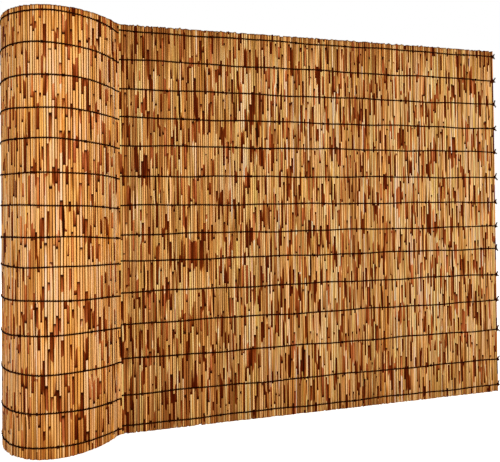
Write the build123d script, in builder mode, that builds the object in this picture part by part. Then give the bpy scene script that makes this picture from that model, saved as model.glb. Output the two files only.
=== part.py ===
import math
import os

from build123d import *

# Reed fence standing on the cut ends of its reeds: one half stands open as a flat panel, the other half
# is still rolled up. Millimetres, Z up, ground at zero, origin on the ground under the middle of the whole.

# Reed mat
fence_height = 1500.0       # length of the reeds
mat_length = 3000.0         # whole mat, the rolled part included
panel_length = 1575.0       # open stretch, from the free edge to the crease
reed_pitch = 11.0           # average width of a reed along the mat
reed_spread = 0.16          # how far the widths depart from the average, as a share of it
reed_thickness = 8.0        # mat's thickness over the crowns of the reeds
web_thickness = 3.0         # mat's thickness where two reeds meet
crown_share = 0.45          # flat crown of a reed, as a share of its width

# Roll and crease
roll_radius = 218.0         # outside of the roll, over the crowns
roll_setback = 99.0         # centre of the roll, behind the middle of the open panel
turn_gap = 1.2              # clear space between the strands of neighbouring turns
crease_radius = 25.0        # bend from the panel to the roll, at the middle of the mat

# Gaps between neighbouring reeds
gap_count = 52
gap_width = 2.4
gap_share = 0.7             # longest gap, as a share of the bay between two rows of wire
gap_shortening = 0.35       # how much shorter the shortest gap is, as a share of the longest

# Binding wires, a front and a back strand in each row
top_margin = 25.0           # from the reeds' upper ends to the first row
bottom_margin = 32.0        # from the last row to the ground
bay_weights = (1.0, 1.01, 1.0, 0.98, 1.06, 1.02, 1.01, 0.92, 1.07, 1.09, 1.2, 1.23, 1.05)
wire_width = 2.2            # flat of a strand that lies on the reeds
wire_rise = 2.0             # how far a strand stands proud of its seat
wire_seat = 0.2             # clearance between a strand and the crowns
wire_steps = 16             # straight runs of a strand in one turn of the roll
tail_length = 16.0          # wire ends that are laid together past the last reed

# Sizes that follow from the ones above
roll_middle = roll_radius - reed_thickness / 2.0
wire_bulge = roll_middle * (1.0 / math.cos(math.pi / wire_steps) - 1.0)
turn_pitch = reed_thickness + 2.0 * (wire_seat + wire_rise + wire_bulge) + turn_gap
crease_turn = math.acos((roll_setback + crease_radius) / (roll_middle + crease_radius))
crease_length = crease_radius * crease_turn
roll_start = panel_length + crease_length


def scatter(index, root):
    """Evenly scattered value from 0 to 1 for each index; each root gives another sequence."""
    return (index * math.sqrt(root)) % 1.0


def reed_edges():
    """Distances from the free edge at which one reed ends and the next begins."""
    marks = [0.0]
    for index in range(round(mat_length / reed_pitch)):
        marks.append(marks[-1] + reed_pitch * (1.0 + reed_spread * (2.0 * scatter(index, 5) - 1.0)))
    return marks


def mat_stretches(length):
    """Stretches of the mat's middle line as (start, curvature): panel, crease, then half turns of the
    roll, each with a radius smaller by half of the turn pitch."""
    parts = [(0.0, 0.0), (panel_length, 1.0 / crease_radius)]
    start, radius = roll_start, roll_middle
    while start < length:
        parts.append((start, -1.0 / radius))
        start += math.pi * radius
        radius -= turn_pitch / 2.0
    return parts


edges = reed_edges()
mat_end = edges[-1]
stretches = mat_stretches(mat_end)


def station(distance, offset=0.0):
    """Plan point beside the mat's middle line, with the heading there; the front is the positive side."""
    x, y, heading = 0.0, 0.0, math.pi
    ends = [start for start, bend in stretches[1:]] + [math.inf]
    for (start, bend), end in zip(stretches, ends):
        run = min(distance, end) - start
        if bend == 0.0:
            x += run * math.cos(heading)
            y += run * math.sin(heading)
        elif run > 0.0:
            x += (math.sin(heading + bend * run) - math.sin(heading)) / bend
            y -= (math.cos(heading + bend * run) - math.cos(heading)) / bend
            heading += bend * run
    return x - offset * math.sin(heading), y + offset * math.cos(heading), heading


def beside(distance, offset=0.0):
    """Plan point beside the mat's middle line."""
    return station(distance, offset)[:2]


def mat_face(side):
    """Ridged line of one face: a valley where two reeds meet and a flat crown on each reed."""
    points = [beside(edges[0], side * web_thickness / 2.0)]
    for low, high in zip(edges, edges[1:]):
        half = crown_share * (high - low) / 2.0
        x, y, heading = station((low + high) / 2.0, side * reed_thickness / 2.0)
        along_x, along_y = math.cos(heading), math.sin(heading)
        points.append((x - half * along_x, y - half * along_y))
        points.append((x + half * along_x, y + half * along_y))
        points.append(beside(high, side * web_thickness / 2.0))
    return points


def strand_route(side):
    """Line of a strand's seat on one face, from tail to tail. Where the face is full, the runs touch it
    and their corners stand clear; where it is hollow, the corners touch it and the runs bridge it."""
    seat = reed_thickness / 2.0 + wire_seat
    steps = math.ceil((mat_end - roll_start) / roll_middle / (2.0 * math.pi / wire_steps))
    step = (mat_end - roll_start) / steps
    route = [beside(-tail_length, side * wire_seat), beside(0.0, side * seat)]
    if side > 0.0:
        route += [beside(panel_length, seat), beside(roll_start, seat)]
        for index in range(steps):
            middle = roll_start + (index + 0.5) * step
            start, bend = [stretch for stretch in stretches if stretch[0] <= middle][-1]
            radius = -1.0 / bend
            route.append(beside(middle, (radius + seat) / math.cos(step / radius / 2.0) - radius))
        route.append(beside(mat_end, seat))
    else:
        corner = (crease_radius + seat) / math.cos(crease_turn / 4.0) - crease_radius
        route.append(beside(panel_length + crease_length / 4.0, -corner))
        route.append(beside(roll_start - crease_length / 4.0, -corner))
        route += [beside(roll_start + index * step, -seat) for index in range(steps + 1)]
    route.append(beside(mat_end + tail_length, side * wire_seat))
    return route


def row_heights():
    """Heights of the rows of wire, from the top one down."""
    span = fence_height - top_margin - bottom_margin
    heights = [fence_height - top_margin]
    for weight in bay_weights:
        heights.append(heights[-1] - span * weight / sum(bay_weights))
    return heights


outline = mat_face(1.0) + mat_face(-1.0)[::-1]
routes = {"front": strand_route(1.0), "back": strand_route(-1.0)}
rows = row_heights()

# Gaps between neighbouring reeds, clear through the mat, each within one bay
with BuildPart() as gaps:
    for index in range(1, gap_count + 1):
        bay = int(scatter(index, 3) * len(bay_weights))
        height = rows[bay] - rows[bay + 1]
        length = height * gap_share * (1.0 - gap_shortening * scatter(index, 7))
        x, y, heading = station(edges[1 + int(scatter(index, 2) * (len(edges) - 2))])
        with Locations(Location((x, y, rows[bay] - height / 2.0), (0.0, 0.0, math.degrees(heading)))):
            Box(gap_width, reed_thickness, length)

# Mat as it stands, with the middle of its free edge at the origin
with BuildPart() as wall:
    with BuildSketch():
        with BuildLine():
            Polyline(*outline, close=True)
        make_face()
    extrude(amount=fence_height)
    add(gaps.part, mode=Mode.SUBTRACT)

# Strand of wire for each face, three-sided, with its flat on the crowns
strands = {}
for name, rise in (("front", -wire_rise), ("back", wire_rise)):
    with BuildPart() as strand:
        with BuildLine() as line:
            Polyline(*routes[name])
        with BuildSketch(Plane(line.line @ 0, x_dir=(0.0, 0.0, 1.0), z_dir=line.line % 0)):
            with BuildLine():
                Polyline((-wire_width / 2.0, 0.0), (wire_width / 2.0, 0.0), (0.0, rise), close=True)
            make_face()
        sweep(path=line.line, transition=Transition.RIGHT)
    strands[name] = strand.part

# The whole is moved so that the origin lies under its middle
boxes = [solid.bounding_box() for solid in (wall.part, *strands.values())]
shift_x = -(min(box.min.X for box in boxes) + max(box.max.X for box in boxes)) / 2.0
shift_y = -(min(box.min.Y for box in boxes) + max(box.max.Y for box in boxes)) / 2.0

os.makedirs("parts", exist_ok=True)

# Reed mat, one ridged wall through panel, crease and roll
with BuildPart() as reed_mat:
    with Locations((shift_x, shift_y, 0.0)):
        add(wall.part)
reed_mat.part.label = "reed_mat"
export_step(reed_mat.part, "parts/reed_mat.step")

# Binding wires, one strand on each face in every row
for name, strand_part in strands.items():
    for number, height in enumerate(rows, start=1):
        with BuildPart() as wire:
            with Locations((shift_x, shift_y, height)):
                add(strand_part)
        wire.part.label = f"{name}_wire_{number:02d}"
        export_step(wire.part, f"parts/{name}_wire_{number:02d}.step")

foot_x, foot_y = beside(panel_length / 2.0)
print("foot of the panel at its middle:", foot_x + shift_x, foot_y + shift_y)
print("middle of the mat at its free edge:", shift_x, shift_y)
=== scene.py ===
"""Reed fence: round reeds with joints and leaf sheaths, laid side by side along a flat panel, a crease
and a roll, and tied by rows of two wires that cross between the reeds. Metres throughout."""

import logging
import math
from dataclasses import dataclass, field
from enum import Enum

import bpy
import numpy as np
from mathutils import Matrix, Vector


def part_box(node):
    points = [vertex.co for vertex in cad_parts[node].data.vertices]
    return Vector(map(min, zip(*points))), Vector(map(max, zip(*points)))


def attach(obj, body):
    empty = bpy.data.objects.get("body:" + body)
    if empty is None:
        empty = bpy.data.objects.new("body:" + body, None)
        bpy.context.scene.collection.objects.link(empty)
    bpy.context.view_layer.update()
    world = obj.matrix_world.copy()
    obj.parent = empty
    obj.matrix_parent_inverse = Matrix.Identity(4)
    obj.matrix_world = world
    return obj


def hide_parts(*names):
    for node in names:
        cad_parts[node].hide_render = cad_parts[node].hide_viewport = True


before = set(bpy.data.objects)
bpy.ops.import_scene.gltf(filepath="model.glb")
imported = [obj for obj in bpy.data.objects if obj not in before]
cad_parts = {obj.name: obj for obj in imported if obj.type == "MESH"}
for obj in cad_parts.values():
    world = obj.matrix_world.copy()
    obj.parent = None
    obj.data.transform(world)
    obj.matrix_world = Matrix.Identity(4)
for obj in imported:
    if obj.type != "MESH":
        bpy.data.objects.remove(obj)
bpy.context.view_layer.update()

LOG = logging.getLogger("reed_fence")
PHOTO_WIDTH, PHOTO_HEIGHT = 500, 462
WHITE = (1.0, 1.0, 1.0)
BARE = -1.0  # wrap of a stem that no sheath covers
GOLDEN_ANGLE = 2.39996

Array = np.ndarray
Pair = tuple[float, float]
Steps = tuple[float, ...]
Point = tuple[float, float, float]
Colour = tuple[float, float, float]
Stops = tuple[tuple[float, Colour], ...]
Socket = bpy.types.NodeSocket
Value = Socket | Colour | float


class Face(Enum):
    """The two faces of the mat, as the sign of an offset from its middle."""

    FRONT = 1.0
    BACK = -1.0


class MatPart(Enum):
    """The stretches of the mat whose reeds are gathered in one mesh, as shares of its length."""

    PANEL_RIGHT = (0.0, 0.27)
    PANEL_LEFT = (0.27, 0.53)
    ROLL_OUTER = (0.53, 0.77)
    ROLL_INNER = (0.77, 1.01)

    @property
    def piece_name(self) -> str:
        """Name of the mesh."""
        return f"{self.name.lower()}_reeds"

    def holds(self, share: float) -> bool:
        """Whether a place along the mat is in this stretch."""
        low, high = self.value
        return low <= share < high


class Look(Enum):
    """Values that every point of a mesh carries for its finish."""

    WRAP = "wrap"
    TONE = "tone"
    SOOT = "soot"
    HUE = "hue"
    SIDE = "side"

    @property
    def place(self) -> int:
        """Place of the value among those of a point."""
        return list(Look).index(self)


class Root(Enum):
    """Numbers whose square roots scatter places; the first three are the solids' own."""

    GAP_EDGE = 2
    GAP_BAY = 3
    REED_WIDTH = 5
    FRONT_REACH = 6
    BACK_SLOPE = 7
    BACK_REACH = 10
    FREE_EDGE_SLOPE = 11
    INNER_END_SLOPE = 13
    TWIST = 3


def scatter(index: int, root: Root) -> float:
    """Scattered value from 0 to 1 for an index; each root makes another sequence."""
    return (index * math.sqrt(root.value)) % 1.0


def bell(away: Array, reach: float) -> Array:
    """Give 1 at a place and less on both sides of it, little more than a third at its reach."""
    return np.exp(-(away / reach) ** 2)


def ring_angles(sides: int, start: float = 0.5) -> Array:
    """Angles of a ring's points, the first one at a share of the step between them."""
    return (np.arange(sides) + start) / sides * 2.0 * math.pi


def add_object(name: str, data: bpy.types.ID) -> bpy.types.Object:
    """Make an object of a mesh, lamp or camera.

    Args:
        name: Name of the object.
        data: What it shows.

    Returns:
        The object, linked to the scene.
    """
    made = bpy.data.objects.new(name, data)
    bpy.context.scene.collection.objects.link(made)
    return made


@dataclass(frozen=True)
class Draw:
    """A bell-shaped chance: its middle, its spread and the limits that hold it."""

    middle: float
    spread: float
    least: float
    most: float

    def take(self, chance: np.random.Generator) -> float:
        """Draw one value."""
        return float(np.clip(chance.normal(self.middle, self.spread), self.least, self.most))


@dataclass(frozen=True)
class Fade:
    """A darkening that is strongest at one place and fades away from it."""

    strength: float
    reach: float

    def at(self, away: Array) -> Array:
        """Strength at distances from the place."""
        return self.strength * np.exp(-away / self.reach)


@dataclass(frozen=True)
class Wave:
    """A wave: its size, its radians to the metre, and how often it counts the piece's own phase."""

    size: float
    turn: float
    lag: float = 1.0

    def at(self, along: Array, phase: float) -> Array:
        """Departure at places along the piece."""
        return self.size * np.sin(along * self.turn + self.lag * phase)


@dataclass
class MeshBuilder:
    """Gathers vertices, faces and their look, and makes them one mesh object."""

    vertices: list[Array] = field(default_factory=list)
    looks: list[Array] = field(default_factory=list)
    faces: list[Array] = field(default_factory=list)
    count: int = 0

    def add(self, vertices: Array, look: Array) -> int:
        """Add vertices with their look.

        Args:
            vertices: Points, one row each.
            look: Values of Look for each point.

        Returns:
            The index of the first one.
        """
        first = self.count
        self.vertices.append(vertices)
        self.looks.append(look)
        self.count += len(vertices)
        return first

    def add_tube(self, rings: Array, look: Array) -> None:
        """Add an open tube.

        Args:
            rings: Points as (ring, side, 3).
            look: Values as (ring, side, value).
        """
        ring_count, sides = rings.shape[:2]
        first = self.add(rings.reshape(-1, 3), look.reshape(-1, len(Look)))
        grid = first + np.arange(ring_count * sides).reshape(ring_count, sides)
        after = np.roll(grid, -1, axis=1)
        quads = np.stack([grid[:-1], after[:-1], after[1:], grid[1:]], axis=-1)
        self.faces.append(quads.reshape(-1, 4))

    def add_cap(self, ring: Array, look: Array, upward: bool) -> None:
        """Close a ring with quads that share two of its corners.

        Args:
            ring: Points of an even number of sides.
            look: Values of Look for each point.
            upward: Whether the cap looks up.
        """
        first = self.add(ring, look)
        sides = len(ring)
        quads = []
        for step in range(sides // 2 - 1):
            quad = [step, step + 1, sides - 2 - step, sides - 1 - step]
            quads.append(quad if upward else quad[::-1])
        self.faces.append(first + np.array(quads))

    def make(self, name: str) -> bpy.types.Object:
        """Make the mesh object.

        Args:
            name: Name of the object and its mesh.

        Returns:
            The object, linked to the scene.
        """
        points = np.concatenate(self.vertices).astype(np.float32)
        quads = np.concatenate(self.faces).astype(np.int32)
        mesh = bpy.data.meshes.new(name)
        mesh.vertices.add(len(points))
        mesh.vertices.foreach_set("co", points.ravel())
        mesh.loops.add(quads.size)
        mesh.loops.foreach_set("vertex_index", quads.ravel())
        mesh.polygons.add(len(quads))
        mesh.polygons.foreach_set("loop_start", np.arange(0, quads.size, 4, dtype=np.int32))
        mesh.polygons.foreach_set("use_smooth", np.ones(len(quads), dtype=bool))
        looks = np.concatenate(self.looks).astype(np.float32)
        for channel in Look:
            values = mesh.attributes.new(channel.value, "FLOAT", "POINT")
            values.data.foreach_set("value", np.ascontiguousarray(looks[:, channel.place]))
        mesh.update(calc_edges=True)
        mesh.validate()
        return add_object(name, mesh)


@dataclass
class MatPath:
    """Middle line of the mat in plan: panel, crease towards the front, then half turns of the roll."""

    panel_length: float = 1.575
    crease_radius: float = 0.025
    roll_radius: float = 0.218
    roll_setback: float = 0.099
    mat_thickness: float = 0.008
    turn_pitch: float = 0.0221
    half_turns: int = 6

    def __post_init__(self) -> None:
        """Work out the stretches and the place of the free edge from the frame."""
        middle = self.roll_radius - self.mat_thickness / 2.0
        turn = math.acos((self.roll_setback + self.crease_radius) / (middle + self.crease_radius))
        low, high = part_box("reed_mat")
        self.free_edge = (high[0], low[1] + self.roll_radius - self.roll_setback)
        self.stretches = [(0.0, 0.0), (self.panel_length, 1.0 / self.crease_radius)]
        start = self.panel_length + self.crease_radius * turn
        for half_turn in range(self.half_turns):
            radius = middle - half_turn * self.turn_pitch / 2.0
            self.stretches.append((start, -1.0 / radius))
            start += math.pi * radius

    def locate(self, distance: Array, offset: Array) -> tuple[Array, Array]:
        """Find plan points beside the middle line.

        Args:
            distance: Distances from the free edge.
            offset: Distances from the middle line, positive towards the front face.

        Returns:
            Points as (count, 2) and headings in radians.
        """
        x, y = (np.full(len(distance), place) for place in self.free_edge)
        heading = np.full(len(distance), math.pi)
        ends = [start for start, _ in self.stretches[1:]] + [math.inf]
        for (start, bend), end in zip(self.stretches, ends):
            run = np.minimum(distance, end) - start
            if bend == 0.0:
                x = x + run * np.cos(heading)
                y = y + run * np.sin(heading)
                continue
            run = np.maximum(run, 0.0)
            turned = heading + bend * run
            x = x + (np.sin(turned) - np.sin(heading)) / bend
            y = y - (np.cos(turned) - np.cos(heading)) / bend
            heading = turned
        return np.stack([x - offset * np.sin(heading), y + offset * np.cos(heading)], axis=-1), heading

    def rings(
        self, distance: Array, offset: Array, heights: Array,
        half_width: Array | float, half_depth: Array | float, angles: Array,
    ) -> Array:
        """Lay level rings, one above the other.

        Args:
            distance: Distances of their centres from the free edge.
            offset: Distances of their centres from the middle line.
            heights: Their heights.
            half_width: Half of their width along the mat.
            half_depth: Half of their depth across it.
            angles: Angles of the points of a ring.

        Returns:
            Points as (ring, side, 3).
        """
        plan, heading = self.locate(distance, offset)
        along_mat = np.stack([np.cos(heading), np.sin(heading)], axis=-1)
        outward = np.stack([-np.sin(heading), np.cos(heading)], axis=-1)
        rings = np.empty((len(heights), len(angles), 3))
        rings[..., :2] = plan[:, None, :]
        rings[..., :2] += (half_width * np.cos(angles))[..., None] * along_mat[:, None, :]
        rings[..., :2] += (half_depth * np.sin(angles))[..., None] * outward[:, None, :]
        rings[..., 2] = heights[:, None]
        return rings


@dataclass
class Sheath:
    """Dry leaf sheath that wraps a reed from one joint and narrows to a point."""

    joint: float
    run: float
    upward: bool
    tint: float
    burn: float
    slack: float
    turn: float
    places: Steps = (0.0, 0.1, 0.7, 1.0)
    covers: Steps = (1.4, 1.1, 0.9, -1.05)
    paling: float = 0.35

    @property
    def way(self) -> float:
        """Sign of the direction that it points in, up or down."""
        return 1.0 if self.upward else -1.0

    def along(self, heights: Array) -> Array:
        """Distance from the joint as a share of the sheath's length; outside it, below 0 or above 1."""
        return (heights - self.joint) / (self.way * self.run)

    def cover(self, along: Array) -> Array:
        """How far it reaches round the reed: above 1 all the way, below -1 nowhere."""
        base, held, body, tip = self.covers
        return np.interp(along, self.places, (base, held - self.slack, body - self.slack, tip))

    def tone(self, along: Array) -> Array:
        """Tone at places along it, paler towards its point."""
        return np.clip(self.tint + self.paling * (along - 0.5), 0.0, 1.0)


@dataclass
class Reed:
    """One reed: where it stands along the mat, how thick it is, and where its joints and sheaths are."""

    start: float
    width: float
    depth: float
    shift: float
    bottom: float
    top: float
    hue: float
    lean: float
    bow: float
    phase: float
    joints: Array
    tones: Array
    marks: Array
    sheaths: list[Sheath]
    gaps: list[Steps] = field(default_factory=list)

    @property
    def middle(self) -> float:
        """Distance of the reed's axis from the free edge."""
        return self.start + self.width / 2.0

    @property
    def end(self) -> float:
        """Distance from the free edge at which the next reed begins."""
        return self.start + self.width


@dataclass(frozen=True)
class Growth:
    """Chance in the growth of reeds: spans run from least to most, shapes are those of beta draws."""

    width: Draw = Draw(0.0, 0.5, -1.0, 1.0)
    turn_chance: float = 0.16
    climb: Pair = (0.02, 0.14)
    lean_kept: float = 0.75
    lean_step: float = 0.0005
    depth: Pair = (0.86, 1.04)
    shift: Draw = Draw(0.0, 0.0006, -0.0012, 0.0012)
    foot: Draw = Draw(0.0002, 0.0012, 0.0, 0.006)
    cut_depths: Steps = (0.0, 0.0022, 0.0045)
    cut_chances: Steps = (0.14, 0.72, 0.14)
    cut_on_roll: float = 0.2
    cut_spread: float = 0.0016
    bow: Pair = (0.0002, 0.0007)
    joint_margin: float = 0.01
    tone_shape: Pair = (1.5, 1.5)
    hue_shape: Pair = (1.6, 1.8)
    dark_chance: float = 0.2
    dark_mark: Pair = (0.6, 1.0)
    plain_mark: float = 0.1
    upward_chance: float = 0.6
    same_way_chance: float = 0.9
    run: Draw = Draw(1.0, 0.32, 0.2, 1.9)
    tint_shape: Pair = (0.95, 1.6)
    burn: Pair = (0.4, 1.25)
    slack: Pair = (-0.4, 0.9)


@dataclass
class ReedMat:
    """All reeds of the fence, laid out by seeded chance; pairs are values for panel and roll."""

    path: MatPath
    rows: list[float]
    growth: Growth = Growth()
    length: float = 3.0
    pitch: float = 0.0070
    roll_growth: float = 0.12
    spread: float = 0.36
    overlap: float = 1.28
    taper: float = 0.04
    joint_spacing: float = 0.235
    spacing_spread: float = 0.1
    joint_swell: float = 0.0003
    swell_reach: float = 0.0025
    sheath_length: Pair = (0.094, 0.082)
    sheath_swell: float = 0.0003
    bareness: float = 0.03
    # Tone of reed bundles along the mat; the tones falling from 0.35 m towards the crease are painted
    # shade on the panel's left, beside the roll.
    bundle_tones_and_shade: tuple[Pair, ...] = (
        (0.0, -0.3), (0.012, -0.05), (0.35, -0.02), (0.9, -0.09), (1.3, -0.13),
        (1.49, -0.16), (1.56, -0.36), (1.59, 0.08), (1.85, 0.1), (3.0, 0.0),
    )
    tone_spread: Pair = (0.6, 0.3)
    tone_change: Pair = (0.15, 0.2)
    hue_spread: Pair = (0.75, 0.36)
    warmth: Pair = (0.0, 0.52)
    bow_turn: float = 8.0
    ripple: Wave = Wave(0.00045, 27.0, 3.0)
    waver: Wave = Wave(0.0005, 6.0, 2.0)
    seam_reach: float = 0.003
    gap_bow: float = 0.0030
    gap_bluntness: float = 0.3
    gap_pushes: tuple[tuple[int, float], ...] = ((-2, -0.5), (-1, -1.0), (0, 1.0), (1, 0.5))
    # Thin dark sheets between neighbouring reeds: painted shade in the grooves where they meet.
    shade_sheet_reach: float = 0.0066
    shade_sheet_depth: float = 0.0008
    shade_sheet_margins: Pair = (0.004, 0.008)
    shade_sheet_sides: int = 4
    # Reeds are darker towards the floor and towards their tops, by a share that differs from reed to
    # reed.
    foot_darkening: Fade = Fade(0.28, 0.12)
    tip_darkening: Fade = Fade(0.3, 0.05)
    foot_soot: Fade = Fade(0.4, 0.005)
    tip_soot: Fade = Fade(0.62, 0.006)
    joint_soot_reach: float = 0.0035
    burn_reach: float = 0.009
    bore_share: float = 0.6
    bore_depth: float = 0.006
    rim_soot: float = 0.1
    # The bore's darkness is painted shade of the hollow inside the reed.
    bore_shade: float = 0.9
    seed: int = 41
    sides: int = 8
    even_rings: int = 6
    end_step: float = 0.007
    joint_steps: Steps = (-0.005, -0.0008, 0.0008, 0.005)
    sheath_steps: Pair = (0.012, 0.03)
    gap_shares: Steps = (0.0, 0.05, 0.2, 0.5, 0.8, 0.95, 1.0)
    least_step: float = 0.0007
    cad_pitch: float = 0.011
    cad_spread: float = 0.16
    gap_count: int = 52

    def __post_init__(self) -> None:
        """Lay the reeds."""
        low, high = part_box("reed_mat")
        self.floor, self.height = low[2], high[2]
        self.chance = np.random.default_rng(self.seed)
        self.reeds = self.lay_reeds()
        past = self.path.panel_length + self.seam_reach
        self.seam = next(reed.start for reed in self.reeds if reed.start > past)
        self.open_gaps()

    def lay_reeds(self) -> list[Reed]:
        """Lay reeds side by side over the whole length.

        Returns:
            The reeds, from the free edge to the rolled end.
        """
        growth, widths = self.growth, []
        while sum(widths) < self.length:
            draw = growth.width.take(self.chance)
            extra = self.roll_growth if sum(widths) > self.path.panel_length else 0.0
            widths.append(self.pitch * (1.0 + extra + self.spread * draw))
        scale = self.length / sum(widths)
        start, chain, climb, lean = 0.0, 0.0, 1.0, 0.0
        reeds = []
        for width in widths:
            if self.chance.random() < growth.turn_chance:
                climb = -climb
            chain = (chain + climb * self.chance.uniform(*growth.climb)) % self.joint_spacing
            lean = growth.lean_kept * lean + self.chance.normal(0.0, growth.lean_step)
            reeds.append(self.grow_reed(start, width * scale, chain, lean))
            start += width * scale
        return reeds

    def grow_reed(self, start: float, width: float, chain: float, lean: float) -> Reed:
        """Choose one reed's thickness, ends, joints and sheaths.

        Args:
            start: Distance from the free edge.
            width: Share of the mat's length that it takes.
            chain: Height that its joints follow from the reeds beside it.
            lean: How far its top leans along the mat.

        Returns:
            The reed.
        """
        chance, growth = self.chance, self.growth
        depth = self.path.mat_thickness * chance.uniform(*growth.depth)
        joints = self.place_joints(chain)
        count = len(joints)
        # Tone shared by a bundle of reeds, with painted shade on the panel near the crease.
        bundle_tone_and_shade = float(np.interp(start, *zip(*self.bundle_tones_and_shade)))
        rolled = int(start > self.path.panel_length)
        base = 0.5 + self.tone_spread[rolled] * (chance.beta(*growth.tone_shape) - 0.5) + bundle_tone_and_shade
        tones = np.clip(base + chance.normal(0.0, self.tone_change[rolled], count + 1), 0.0, 1.0)
        dark = chance.random(count) < growth.dark_chance
        marks = np.where(dark, chance.uniform(*growth.dark_mark, count), growth.plain_mark)
        upward = chance.random() < growth.upward_chance
        sheaths = [
            self.grow_sheath(float(joint), rolled, upward, bundle_tone_and_shade)
            for joint in joints if chance.random() >= self.bareness
        ]
        return Reed(
            start=start, width=width, depth=depth, lean=lean,
            shift=growth.shift.take(chance),
            bottom=self.floor + growth.foot.take(chance),
            top=self.height - self.cut_depth(start) - chance.uniform(0.0, growth.cut_spread),
            hue=self.hue_spread[rolled] * chance.beta(*growth.hue_shape) + self.warmth[rolled],
            bow=chance.uniform(*growth.bow),
            phase=chance.uniform(0.0, 2.0 * math.pi),
            joints=joints, tones=tones, marks=marks, sheaths=sheaths,
        )

    def place_joints(self, chain: float) -> Array:
        """Choose the heights of a reed's joints.

        Args:
            chain: Height that they follow from the reeds beside it.

        Returns:
            Heights in rising order.
        """
        margin = self.growth.joint_margin
        height = self.floor + chain - self.joint_spacing
        joints = []
        while height < self.height + self.joint_spacing:
            if self.floor + margin < height < self.height - margin:
                joints.append(height)
            share = self.chance.uniform(1.0 - self.spacing_spread, 1.0 + self.spacing_spread)
            height += self.joint_spacing * share
        return np.array(joints)

    def grow_sheath(self, joint: float, rolled: int, upward: bool, bundle_tone_and_shade: float) -> Sheath:
        """Choose one sheath.

        Args:
            joint: Height of the joint that it grows from.
            rolled: 1 where the reed is on the roll, else 0.
            upward: Whether most sheaths of the reed point up.
            bundle_tone_and_shade: Change of tone that its bundle of reeds shares, with painted shade on
                the panel near the crease.

        Returns:
            The sheath.
        """
        chance, growth = self.chance, self.growth
        return Sheath(
            joint=joint,
            run=self.sheath_length[rolled] * growth.run.take(chance),
            upward=upward if chance.random() < growth.same_way_chance else not upward,
            tint=float(np.clip(chance.beta(*growth.tint_shape) + bundle_tone_and_shade, 0.0, 1.0)),
            burn=chance.uniform(*growth.burn),
            slack=chance.uniform(*growth.slack),
            turn=chance.uniform(0.0, 2.0 * math.pi),
        )

    def cut_depth(self, start: float) -> float:
        """How far below the full height a reed is cut: little or nothing on the roll."""
        depth = float(self.chance.choice(self.growth.cut_depths, p=self.growth.cut_chances))
        return depth if start < self.path.panel_length else self.growth.cut_on_roll * depth

    def open_gaps(self) -> None:
        """Part the reeds on both sides of each of the solids' gaps."""
        edges = [0.0]
        for index in range(round(self.length / self.cad_pitch)):
            draw = 2.0 * scatter(index, Root.REED_WIDTH) - 1.0
            edges.append(edges[-1] + self.cad_pitch * (1.0 + self.cad_spread * draw))
        for index in range(1, self.gap_count + 1):
            bay = int(scatter(index, Root.GAP_BAY) * (len(self.rows) - 1))
            distance = edges[1 + int(scatter(index, Root.GAP_EDGE) * (len(edges) - 2))]
            apart = [abs(reed.start - distance) for reed in self.reeds[2:-1]]
            near = 2 + apart.index(min(apart))
            upper, lower = self.rows[bay], self.rows[bay + 1]
            for step, push in self.gap_pushes:
                self.reeds[near + step].gaps.append((lower, upper, push))

    def levels(self, reed: Reed) -> Array:
        """Heights of a reed's rings, close together at its joints and at the ends of its sheaths.

        Args:
            reed: The reed.

        Returns:
            Heights in rising order.
        """
        marks = list(np.linspace(reed.bottom, reed.top, self.even_rings))
        marks += [reed.bottom + self.end_step, reed.top - self.end_step]
        for joint in reed.joints:
            marks += [joint + step for step in self.joint_steps]
        for sheath in reed.sheaths:
            steps = (*self.sheath_steps, sheath.run * sheath.places[-2], sheath.run)
            marks += [sheath.joint + sheath.way * step for step in steps]
        for lower, upper, _ in reed.gaps:
            marks += [lower + share * (upper - lower) for share in self.gap_shares]
        marks = np.array(sorted(mark for mark in marks if reed.bottom <= mark <= reed.top))
        keep = np.concatenate([[True], np.diff(marks) > self.least_step])
        return marks[keep]

    def dress(self, reed: Reed, heights: Array, angles: Array) -> Array:
        """Work out the look of a reed's rings.

        Args:
            reed: The reed.
            heights: Heights of its rings.
            angles: Angles of the points round a ring.

        Returns:
            Values of Look as (ring, side, value).
        """
        # Tone falls towards both cut ends, more on some reeds than on others.
        stain = self.foot_darkening.at(heights) + self.tip_darkening.at(self.height - heights)
        stain = stain * reed.phase / math.pi
        tone = reed.tones[np.searchsorted(reed.joints, heights)] - stain
        wrap = np.full((len(heights), len(angles)), BARE)
        soot = self.tip_soot.at(reed.top - heights) + self.foot_soot.at(heights - reed.bottom)
        for joint, mark in zip(reed.joints, reed.marks):
            soot = np.maximum(soot, mark * bell(heights - joint, self.joint_soot_reach))
        for sheath in reed.sheaths:
            along = sheath.along(heights)
            inside = (along >= 0.0) & (along <= 1.0)
            reach = sheath.cover(along)[:, None] + np.cos(angles - sheath.turn)[None, :]
            wrap = np.where(inside[:, None], reach, wrap)
            tone = np.where(inside, sheath.tone(along) - stain, tone)
            burnt = Fade(sheath.burn, self.burn_reach).at(np.abs(along) * sheath.run)
            soot = np.where(inside, np.maximum(soot, burnt), soot)
        look = np.empty((*wrap.shape, len(Look)))
        layers = (wrap, tone[:, None], soot[:, None], reed.hue, np.cos(angles)[None, :])
        for channel, values in zip(Look, layers):
            look[..., channel.place] = values
        return look

    def drift(self, reed: Reed, heights: Array) -> Array:
        """How far a reed strays along the mat from its place.

        Args:
            reed: The reed.
            heights: Heights of its rings.

        Returns:
            Distances along the mat.
        """
        away = reed.lean * (heights / self.height - 0.5) * 2.0
        away += Wave(reed.bow, self.bow_turn).at(heights, reed.phase)
        away += self.ripple.at(heights, reed.phase)
        for lower, upper, push in reed.gaps:
            share = np.clip((heights - lower) / (upper - lower), 0.0, 1.0)
            away += push * self.gap_bow * np.sin(share * math.pi) ** self.gap_bluntness
        return away

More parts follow.
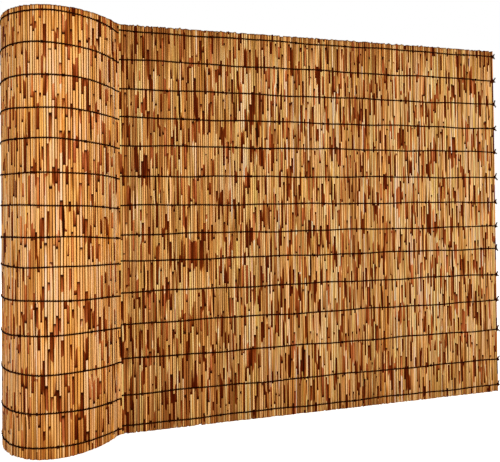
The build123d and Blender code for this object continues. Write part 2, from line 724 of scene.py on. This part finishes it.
    def add_reed(self, mesh: MeshBuilder, reed: Reed) -> None:
        """Add one reed to a mesh, with its hollow cut ends.

        Args:
            mesh: Mesh that takes it.
            reed: The reed.
        """
        heights, angles = self.levels(reed), ring_angles(self.sides)
        look = self.dress(reed, heights, angles)
        swell = np.zeros(len(heights))
        for joint in reed.joints:
            swell += self.joint_swell * bell(heights - joint, self.swell_reach)
        swell = swell[:, None] + self.sheath_swell * np.clip(look[..., Look.WRAP.place], 0.0, 1.0)
        taper = 1.0 + self.taper * (0.5 - heights / self.height)
        half_width = (reed.width / 2.0 * self.overlap * taper)[:, None] + swell
        half_depth = (reed.depth / 2.0 * taper)[:, None] + swell
        distance = reed.middle + self.drift(reed, heights)
        offset = reed.shift + self.waver.at(heights, reed.phase)
        rings = self.path.rings(distance, offset, heights, half_width, half_depth, angles)
        mesh.add_tube(rings, look)
        self.add_end(mesh, rings[0], look[0], upward=False)
        self.add_end(mesh, rings[-1], look[-1], upward=True)

    def add_end(self, mesh: MeshBuilder, ring: Array, look: Array, upward: bool) -> None:
        """Add a cut end: a pale rim round a short bore, painted dark as the shade of the hollow inside
        the reed.

        Args:
            mesh: Mesh that takes it.
            ring: Outermost ring.
            look: Its look.
            upward: Whether the end looks up.
        """
        centre = ring.mean(axis=0)
        bore = centre + (ring - centre) * self.bore_share
        depth = np.array([0.0, 0.0, -self.bore_depth if upward else self.bore_depth])
        rim_look = look.copy()
        rim_look[:, Look.WRAP.place] = BARE
        rim_look[:, Look.SOOT.place] = self.rim_soot
        rim_look[:, Look.SIDE.place] = 0.0
        bore_look = rim_look.copy()
        # Painted shade: the bore is painted nearly black.
        bore_look[:, Look.SOOT.place] = self.bore_shade
        order = slice(None) if upward else slice(None, None, -1)
        mesh.add_tube(np.stack([ring[order], bore[order]]), np.stack([rim_look, rim_look]))
        mesh.add_tube(np.stack([bore[order], bore[order] + depth]), np.stack([bore_look, bore_look]))
        mesh.add_cap(bore + depth, bore_look, upward)

    def add_shade_sheet(self, mesh: MeshBuilder, distance: float, low: float, high: float) -> None:
        """Add a thin dark sheet between two reeds, as painted shade in the groove where they meet.

        Args:
            mesh: Mesh that takes them.
            distance: Distance of the groove from the free edge.
            low: Lower end.
            high: Upper end.
        """
        rings = self.path.rings(
            np.full(2, distance), np.zeros(2), np.array([low, high]),
            self.shade_sheet_reach, self.shade_sheet_depth, ring_angles(self.shade_sheet_sides),
        )
        look = np.zeros((*rings.shape[:2], len(Look)))
        # Painted shade: the sheet is fully dark.
        look[..., Look.SOOT.place] = 1.0
        mesh.add_tube(rings, look)

    def build(self, part: MatPart) -> bpy.types.Object:
        """Build the reeds of one stretch.

        Args:
            part: The stretch.

        Returns:
            The mesh object.
        """
        mesh = MeshBuilder()
        below, above = self.shade_sheet_margins
        for reed in self.reeds:
            if part.holds(reed.middle / self.length):
                self.add_reed(mesh, reed)
                # Before each reed but the first, a dark sheet of painted shade goes into the groove.
                if reed is not self.reeds[0]:
                    self.add_shade_sheet(mesh, reed.start, reed.bottom + below, reed.top - above)
        return mesh.make(part.piece_name)


@dataclass
class BindingRow:
    """One row of two wires that cross between the reeds and are knotted past the last reed."""

    mat: ReedMat
    number: int
    height: float
    radius: float = 0.0015
    rise: float = 0.0029
    sides: int = 6
    panel_sag: float = 0.0022
    crease_drop: float = 0.0135
    drop_reach: float = 0.26
    roll_lift: float = 0.0015
    lift_growth: float = 0.0045
    lift_middle: float = 0.8
    lift_span: float = 0.68
    wander: float = 0.0016
    waves: tuple[Wave, Wave] = (Wave(1.0, 11.0), Wave(0.6, 29.0, 2.0))
    course: tuple[Pair, ...] = ((0.0, 0.0), (0.27, 0.97), (0.73, 0.97))
    crossing: float = 0.8
    seat: float = 0.0002
    parting: float = 1e-6
    knot_radius: float = 0.0060
    knot_length: float = 0.0105
    knot_overlap: float = 0.6
    knot_past: float = 0.4
    knot_turns: float = 2.5
    knot_points: int = 61
    wound_share: float = 0.7
    free_share: float = 0.3
    tail: float = 0.0144
    tail_reach: Pair = (0.55, 0.45)
    tail_rise: float = 0.019
    tail_curve: float = 0.8
    front_slope: Pair = (0.6, 0.4)
    back_slope: Pair = (-0.1, -0.6)
    twist_count: int = 9
    twist_swell: float = 0.9
    least_level: float = 0.05

    def sag(self, distance: Array) -> Array:
        """Departure of the row from its level: a slow wander, and a step down past the crease.

        Args:
            distance: Distances from the free edge.

        Returns:
            Changes of height.
        """
        past = distance - self.mat.seam
        rolled = (past > 0.0).astype(float)
        fade = (1.0 - np.clip(past / self.drop_reach, 0.0, 1.0)) ** 2
        far = (self.height - self.lift_middle) / self.lift_span
        lift = self.roll_lift + self.lift_growth * far ** 2
        phase = self.number * GOLDEN_ANGLE
        slow, quick = (wave.at(distance, phase) for wave in self.waves)
        step = lift * (1.0 - fade) - self.crease_drop * fade
        return self.wander * (slow + quick) + (-self.panel_sag * (1.0 - rolled) + rolled * step)

    def strand(self, first: Face) -> Array:
        """Points of one wire along the whole row.

        Args:
            first: Face that it crosses on the first reed.

        Returns:
            Points as (count, 3).
        """
        points, side = [], first.value
        for reed in self.mat.reeds:
            crown = reed.depth / 2.0 + self.radius + side * reed.shift + self.seat
            for share, out in self.course:
                place = reed.start + share * reed.width + side * self.parting
                lift = side * self.crossing * self.rise * (1.0 - out)
                points.append((place, side * crown * out, lift))
            side = -side
        points.append((self.mat.reeds[-1].end, 0.0, side * self.crossing * self.rise))
        distance, offset, lift = np.array(points).T
        plan, _ = self.mat.path.locate(distance, offset)
        return np.column_stack([plan, self.height + self.sag(distance) + lift])

    def knot(self, first: Face, at_free_edge: bool) -> Array:
        """Points of one wire's knot and tail past the last reed.

        Args:
            first: Face that the wire crosses on the first reed.
            at_free_edge: Whether the knot is the one at the free edge.

        Returns:
            Points as (count, 3), from the mat outwards.
        """
        front = first is Face.FRONT
        end_root = Root.FREE_EDGE_SLOPE if at_free_edge else Root.INNER_END_SLOPE
        level, spread = self.front_slope if front else self.back_slope
        steep = level + spread * scatter(self.number, end_root if front else Root.BACK_SLOPE)
        least, more = self.tail_reach
        reach_root = Root.FRONT_REACH if front else Root.BACK_REACH
        reach = self.tail * (least + more * scatter(self.number, reach_root))
        share = np.linspace(0.0, 1.0, self.knot_points)
        wrap = np.clip(share / self.wound_share, 0.0, 1.0)
        free = np.clip((share - self.wound_share) / self.free_share, 0.0, 1.0)
        past = (reach - self.knot_past * self.knot_length) * free
        outward = self.knot_length * (wrap - self.knot_overlap) + past
        bulge = (self.knot_radius - self.radius) * np.sqrt(np.sin(wrap * math.pi)) * (1.0 - free)
        wound = self.radius + bulge
        angle = wrap * self.knot_turns * 2.0 * math.pi + (0.0 if front else math.pi)
        end = self.mat.reeds[-1].end
        distance = -outward if at_free_edge else end + outward
        plan, _ = self.mat.path.locate(distance, wound * np.cos(angle))
        base = self.height + self.sag(np.array([0.0 if at_free_edge else end]))
        heights = base + wound * np.sin(angle) + steep * self.tail_rise * free ** self.tail_curve
        return np.column_stack([plan, heights])

    def swell(self) -> Array:
        """Thickness of a strand's points: more on the few reeds where both wires are twisted together.

        Returns:
            Factors, one for each point.
        """
        count, step = len(self.mat.reeds), len(self.course)
        factors = np.ones(count * step + 1)
        for twist in range(self.twist_count):
            reed = int(scatter(self.number * self.twist_count + twist, Root.TWIST) * count)
            factors[step * reed + 1:step * (reed + 1)] += self.twist_swell
        return factors

    def tube(self, points: Array, thickness: Array) -> Array:
        """Rings round a line of points.

        Args:
            points: Points as (count, 3).
            thickness: Factor for the size of each ring.

        Returns:
            Rings as (count, side, 3).
        """
        ahead = np.gradient(points, axis=0)
        ahead /= np.linalg.norm(ahead, axis=1, keepdims=True)
        level = np.cross(ahead, np.array([0.0, 0.0, 1.0]))
        length = np.linalg.norm(level, axis=1, keepdims=True)
        unit = level / np.maximum(length, self.least_level)
        level = np.where(length > self.least_level, unit, np.array([0.0, 1.0, 0.0]))
        upright = np.cross(level, ahead)
        angles = ring_angles(self.sides, 0.0)
        ring = self.radius * np.cos(angles)[None, :, None] * level[:, None, :]
        ring = ring + self.rise * np.sin(angles)[None, :, None] * upright[:, None, :]
        return points[:, None, :] + ring * thickness[:, None, None]

    def build(self) -> bpy.types.Object:
        """Build both wires of the row.

        Returns:
            The mesh object.
        """
        mesh = MeshBuilder()
        for first in Face:
            parts = [self.knot(first, True)[:0:-1], self.strand(first), self.knot(first, False)[1:]]
            ends = [np.ones(len(part)) for part in parts[::2]]
            thickness = np.concatenate([ends[0], self.swell(), ends[1]])
            rings = self.tube(np.concatenate(parts), thickness)
            look = np.ones((*rings.shape[:2], len(Look)))
            mesh.add_tube(rings, look)
            mesh.add_cap(rings[0], look[0], upward=False)
            mesh.add_cap(rings[-1], look[-1], upward=True)
        return mesh.make(f"binding_row_{self.number:02d}")


@dataclass(frozen=True)
class Grain:
    """Fineness of a noise: cells to the metre across and along a reed, and its finer layers."""

    across: float
    along: float
    detail: float = 2.0


class NodeGraph:
    """The shader nodes of a material or of the surround, added and linked by short calls."""

    MIX_SHARE, MIX_ONE, MIX_TWO, MIXED = 0, 6, 7, 2

    def __init__(self, owner: bpy.types.ID) -> None:
        """Start without nodes.

        Args:
            owner: Material or world that takes them.
        """
        owner.use_nodes = True
        self.owner, self.tree = owner, owner.node_tree
        self.tree.nodes.clear()

    def node(self, kind: str, inputs: dict[str | int, Value], **settings: str) -> bpy.types.Node:
        """Add a node.

        Args:
            kind: The node's type.
            inputs: What its inputs take, by their name or place: sockets are linked, others set.
            **settings: Properties to set on it.

        Returns:
            The node.
        """
        made = self.tree.nodes.new(kind)
        for key, setting in settings.items():
            setattr(made, key, setting)
        for key, value in inputs.items():
            socket = made.inputs[key]
            if isinstance(value, Socket):
                self.tree.links.new(value, socket)
            elif isinstance(value, tuple):
                socket.default_value = (*value, 1.0)[:len(socket.default_value)]
            else:
                socket.default_value = value
        return made

    def ramp(self, value: Socket, *stops: tuple[float, Colour]) -> Socket:
        """Turn a value into a colour.

        Args:
            value: Socket that gives the value.
            *stops: Places from 0 to 1 with their colours.

        Returns:
            The colour's socket.
        """
        made = self.node("ShaderNodeValToRGB", {"Fac": value})
        elements = made.color_ramp.elements
        while len(elements) < len(stops):
            elements.new(0.5)
        for element, (place, colour) in zip(elements, stops):
            element.position = place
            element.color = (*colour, 1.0)
        return made.outputs["Color"]

    def mix(self, share: Value, one: Value, two: Value, blend: str = "MIX") -> Socket:
        """Blend a share of the second colour into the first."""
        inputs = {self.MIX_SHARE: share, self.MIX_ONE: one, self.MIX_TWO: two}
        return self.node("ShaderNodeMix", inputs, data_type="RGBA", blend_type=blend).outputs[self.MIXED]

    def multiply(self, share: float, one: Socket, two: Socket) -> Socket:
        """Multiply one colour by a share of another."""
        return self.mix(share, one, two, "MULTIPLY")

    def math(self, operation: str, *values: Value) -> Socket:
        """Work out one number from others."""
        return self.node("ShaderNodeMath", dict(enumerate(values)), operation=operation).outputs[0]

    def attribute(self, name: str) -> Socket:
        """Read a value that the mesh carries."""
        return self.node("ShaderNodeAttribute", {}, attribute_name=name).outputs["Fac"]

    def stir(self, value: Socket, noise: Socket, amount: float) -> Socket:
        """Add a noise to a value, half of the amount below it and half above."""
        centred = self.math("MULTIPLY", self.math("SUBTRACT", noise, 0.5), amount)
        return self.math("ADD", value, centred)

    def span(self, value: Socket, ends: Pair) -> Socket:
        """Ease a value from 0 at one end to 1 at the other."""
        inputs = {"Value": value, "From Min": ends[0], "From Max": ends[1]}
        return self.node("ShaderNodeMapRange", inputs, interpolation_type="SMOOTHSTEP").outputs["Result"]

    def noise(self, grain: Grain) -> Socket:
        """Noise in the object's own space.

        Args:
            grain: Its fineness.

        Returns:
            The noise value's socket.
        """
        own = self.node("ShaderNodeTexCoord", {}).outputs["Object"]
        scale = (grain.across, grain.across, grain.along)
        place = self.node("ShaderNodeMapping", {"Vector": own, "Scale": scale}).outputs["Vector"]
        inputs = {"Vector": place, "Scale": 1.0, "Detail": grain.detail}
        return self.node("ShaderNodeTexNoise", inputs).outputs["Fac"]

    def plainly_seen(self) -> Socket:
        """Tell 1 for what the camera sees, also mirrored or through glass, else 0.

        Returns:
            The answer's socket.
        """
        rays = self.node("ShaderNodeLightPath", {}).outputs
        seen = self.math("MAXIMUM", rays["Is Camera Ray"], rays["Is Glossy Ray"])
        return self.math("MAXIMUM", seen, rays["Is Transmission Ray"])

    def finish(self, surface: Socket, kind: str = "ShaderNodeOutputMaterial") -> bpy.types.ID:
        """Link a surface to an output, and give back the owner."""
        self.node(kind, {"Surface": surface})
        return self.owner


@dataclass(frozen=True)
class ReedFinish:
    """Dry reed: straw stems with fine fibres, red-brown leaf sheaths and dark joints, with painted shade
    on the reeds' flanks and in the valleys between them.
    """

    straw: Stops = (
        (0.0, (0.27, 0.100, 0.026)), (0.28, (0.48, 0.238, 0.076)),
        (0.55, (0.67, 0.415, 0.190)), (0.8, (0.67, 0.467, 0.305)), (1.0, (0.67, 0.52, 0.385)),
    )
    sheath: Stops = (
        (0.0, (0.062, 0.006, 0.0003)), (0.3, (0.170, 0.030, 0.0034)),
        (0.65, (0.37, 0.100, 0.030)), (1.0, (0.60, 0.235, 0.085)),
    )
    tints: Stops = ((0.0, (0.92, 1.05, 0.92)), (0.4, WHITE), (1.0, (1.14, 0.82, 0.38)))
    casts: Stops = ((0.3, (1.0, 1.0, 0.73)), (0.7, (1.0, 0.97, 1.21)))
    streaks: Stops = ((0.3, (0.66, 0.60, 0.52)), (0.6, WHITE))
    # The soot colour is real soot at joints, sheath bases and cut ends, and also painted shade in the
    # bores and on the sheets between reeds.
    soot: Colour = (0.022, 0.003, 0.0003)
    # The valley colour is painted shade where neighbouring reeds meet, and the flank colour is painted
    # shade that darkens and warms their flanks.
    valley_shade: Colour = (0.034, 0.005, 0.0004)
    flank_shade: Colour = (0.94, 0.70, 0.27)
    fibre_grain: Grain = Grain(420.0, 9.0, 3.0)
    patch_grain: Grain = Grain(120.0, 6.0)
    stain_grain: Grain = Grain(260.0, 26.0)
    cast_grain: Grain = Grain(150.0, 4.0)
    crowd_grain: Grain = Grain(110.0, 5.0, 1.0)
    stem_unevenness: float = 0.55
    leaf_unevenness: float = 0.5
    edge_unevenness: float = 0.35
    soot_unevenness: float = 0.3
    leaf_tint: float = 0.35
    streak_share: float = 0.7
    edge_span: Pair = (0.0, 0.12)
    flank_shade_span: Pair = (0.15, 0.6)
    valley_shade_span: Pair = (0.38, 0.72)
    crowd_span: Pair = (0.22, 0.46)
    soot_span: Pair = (0.12, 0.8)
    roughness: float = 0.5
    specular: float = 0.008
    bump_strength: float = 0.3
    bump_depth: float = 0.0005

    def material(self) -> bpy.types.Material:
        """Make the material.

        Returns:
            The material.
        """
        graph = NodeGraph(bpy.data.materials.new("dry_reed"))
        wrap, tone, soot, hue, side = (graph.attribute(channel.value) for channel in Look)
        fibre, patch, stain, cast, crowd = (graph.noise(grain) for grain in (
            self.fibre_grain, self.patch_grain, self.stain_grain, self.cast_grain, self.crowd_grain
        ))
        stem = graph.ramp(graph.stir(tone, patch, self.stem_unevenness), *self.straw)
        leaf = graph.ramp(graph.stir(tone, stain, self.leaf_unevenness), *self.sheath)
        tint = graph.ramp(hue, *self.tints)
        stem, leaf = graph.multiply(1.0, stem, tint), graph.multiply(self.leaf_tint, leaf, tint)
        covered = graph.span(graph.stir(wrap, stain, self.edge_unevenness), self.edge_span)
        colour = graph.mix(covered, stem, leaf)
        colour = graph.multiply(1.0, colour, graph.ramp(cast, *self.casts))
        colour = graph.multiply(self.streak_share, colour, graph.ramp(fibre, *self.streaks))
        # Painted shade: each reed's flanks towards its neighbours are darkened and warmed, and the
        # valleys where reeds meet are darkened, unevenly by the crowd noise.
        aside = graph.math("ABSOLUTE", side)
        flank_shade = graph.mix(graph.span(aside, self.flank_shade_span), WHITE, self.flank_shade)
        colour = graph.multiply(1.0, colour, flank_shade)
        low, crowded = graph.span(aside, self.valley_shade_span), graph.span(crowd, self.crowd_span)
        colour = graph.mix(graph.math("MULTIPLY", low, crowded), colour, self.valley_shade)
        # The soot value is real soot at joints, sheath bases and cut ends, and painted shade in the
        # bores and on the dark sheets between reeds.
        sooty = graph.span(graph.stir(soot, stain, self.soot_unevenness), self.soot_span)
        colour = graph.mix(sooty, colour, self.soot)
        bump = graph.node("ShaderNodeBump", {
            "Strength": self.bump_strength, "Distance": self.bump_depth, "Height": fibre,
        })
        shader = graph.node("ShaderNodeBsdfPrincipled", {
            "Base Color": colour, "Roughness": self.roughness,
            "Specular IOR Level": self.specular, "Normal": bump.outputs["Normal"],
        })
        return graph.finish(shader.outputs["BSDF"])


@dataclass(frozen=True)
class WireFinish:
    """Dark annealed wire with a dull sheen and a trace of rust."""

    colours: Stops = ((0.45, (0.007, 0.001, 0.0001)), (0.7, (0.034, 0.006, 0.0004)))
    roughness: Stops = ((0.3, (0.5, 0.5, 0.5)), (0.7, (0.75, 0.75, 0.75)))
    grain: Grain = Grain(60.0, 60.0, 3.0)
    specular: float = 0.008

    def material(self) -> bpy.types.Material:
        """Make the material.

        Returns:
            The material.
        """
        graph = NodeGraph(bpy.data.materials.new("annealed_wire"))
        grain = graph.noise(self.grain)
        shader = graph.node("ShaderNodeBsdfPrincipled", {
            "Base Color": graph.ramp(grain, *self.colours), "Specular IOR Level": self.specular,
            "Roughness": graph.ramp(grain, *self.roughness),
        })
        return graph.finish(shader.outputs["BSDF"])


@dataclass(frozen=True)
class FloorFinish:
    """Pale floor that reads as white to the camera and still takes the fence's shadow."""

    colour: Colour = (0.86, 0.86, 0.86)
    lift: float = 0.58

    def material(self) -> bpy.types.Material:
        """Make the material.

        Returns:
            The material.
        """
        graph = NodeGraph(bpy.data.materials.new("pale_floor"))
        shader = graph.node("ShaderNodeBsdfDiffuse", {"Color": self.colour})
        strength = graph.math("MULTIPLY", graph.plainly_seen(), self.lift)
        glow = graph.node("ShaderNodeEmission", {"Strength": strength})
        parts = {0: shader.outputs["BSDF"], 1: glow.outputs["Emission"]}
        return graph.finish(graph.node("ShaderNodeAddShader", parts).outputs["Shader"])


@dataclass(frozen=True)
class Lamp:
    """Soft square lamp: where it hangs, the point that it faces, its side and its power."""

    name: str
    place: Point
    aim: Point
    size: float
    watts: float

    def hang(self) -> None:
        """Hang the lamp."""
        data = bpy.data.lights.new(self.name, "AREA")
        data.size, data.energy = self.size, self.watts
        lamp = add_object(self.name, data)
        lamp.location = self.place
        facing = Vector(self.aim) - Vector(self.place)
        lamp.rotation_euler = facing.to_track_quat("-Z", "Y").to_euler()


@dataclass
class Studio:
    """Floor, soft light, white surround and the camera of the photograph."""

    focal_pixels: float = 436.9
    centre_pixel: Pair = (264.1, 201.6)
    camera_from_crease: Point = (0.1734, -1.6739, 0.8245)
    yaw: float = 0.2114
    pitch: float = 0.0096
    roll: float = 0.0106
    sensor: float = 36.0
    ambient: float = 0.55
    floor_reach: float = 30.0
    lamps: tuple[Lamp, ...] = (
        Lamp("key", (2.0, -2.8, 1.5), (0.1, 0.0, 0.75), 1.3, 71.0),
        Lamp("fill", (-1.5, -2.9, 1.4), (-0.75, 0.0, 0.75), 1.2, 57.0),
        Lamp("back", (-1.5, 3.4, 2.4), (0.0, 0.0, 0.75), 2.0, 110.0),
    )

    def build_camera(self, crease: Pair) -> None:
        """Place the camera.

        Args:
            crease: Plan point where the crease begins, at the middle of the mat.
        """
        data = bpy.data.cameras.new("camera")
        data.sensor_width = self.sensor
        data.lens = self.focal_pixels / PHOTO_WIDTH * self.sensor
        data.shift_x = (PHOTO_WIDTH / 2.0 - self.centre_pixel[0]) / PHOTO_WIDTH
        data.shift_y = (self.centre_pixel[1] - PHOTO_HEIGHT / 2.0) / PHOTO_WIDTH
        camera = add_object("camera", data)
        level = Vector((math.sin(self.yaw), math.cos(self.yaw), 0.0))
        up = Vector((0.0, 0.0, 1.0))
        right = level.cross(up)
        forward = level * math.cos(self.pitch) + up * math.sin(self.pitch)
        above = up * math.cos(self.pitch) - level * math.sin(self.pitch)
        side = right * math.cos(self.roll) - above * math.sin(self.roll)
        top = right * math.sin(self.roll) + above * math.cos(self.roll)
        rotation = Matrix((side, top, -forward)).transposed()
        x, y, z = self.camera_from_crease
        camera.matrix_world = Matrix.Translation((crease[0] + x, crease[1] + y, z)) @ rotation.to_4x4()
        bpy.context.scene.camera = camera

    def build_floor(self) -> None:
        """Lay the floor."""
        mesh = bpy.data.meshes.new("floor")
        reach = self.floor_reach
        corners = [(x * reach, y * reach, 0.0) for x, y in ((-1, -1), (1, -1), (1, 1), (-1, 1))]
        mesh.from_pydata(corners, [], [(0, 1, 2, 3)])
        mesh.materials.append(FloorFinish().material())
        floor = add_object("floor", mesh)

    def build_world(self) -> None:
        """Make the surround white to the camera and a softer fill to the fence."""
        world = bpy.data.worlds.new("surround")
        bpy.context.scene.world = world
        graph = NodeGraph(world)
        inputs = {"Value": graph.plainly_seen(), "To Min": self.ambient}
        level = graph.node("ShaderNodeMapRange", inputs).outputs["Result"]
        shine = graph.node("ShaderNodeBackground", {"Color": WHITE, "Strength": level})
        graph.finish(shine.outputs["Background"], "ShaderNodeOutputWorld")

    def build(self, crease: Pair) -> None:
        """Build everything round the fence.

        Args:
            crease: Plan point where the crease begins.
        """
        bpy.context.scene.view_settings.view_transform = "Standard"
        self.build_camera(crease)
        self.build_floor()
        for lamp in self.lamps:
            lamp.hang()
        self.build_world()


def main() -> None:
    """Build the fence and the studio round it."""
    logging.basicConfig(level=logging.INFO, format="%(name)s: %(message)s")
    path = MatPath()
    crease, _ = path.locate(np.array([path.panel_length]), np.zeros(1))
    Studio().build(tuple(map(float, crease[0])))
    row_count = sum(name.startswith("front_wire_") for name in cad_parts)
    boxes = [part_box(f"front_wire_{number:02d}") for number in range(1, row_count + 1)]
    rows = [(low[2] + high[2]) / 2.0 for low, high in boxes]
    mat = ReedMat(path, rows)
    reed_finish, wire_finish = ReedFinish().material(), WireFinish().material()
    for part in MatPart:
        piece = mat.build(part)
        piece.data.materials.append(reed_finish)
        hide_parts("reed_mat")
        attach(piece, "root")
        LOG.info("%s: %d faces", piece.name, len(piece.data.polygons))
    for number, height in enumerate(rows, start=1):
        piece = BindingRow(mat, number, height).build()
        piece.data.materials.append(wire_finish)
        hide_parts(f"front_wire_{number:02d}", f"back_wire_{number:02d}")
        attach(piece, "root")
        LOG.info("%s: %d faces", piece.name, len(piece.data.polygons))


if __name__ == "__main__":
    main()
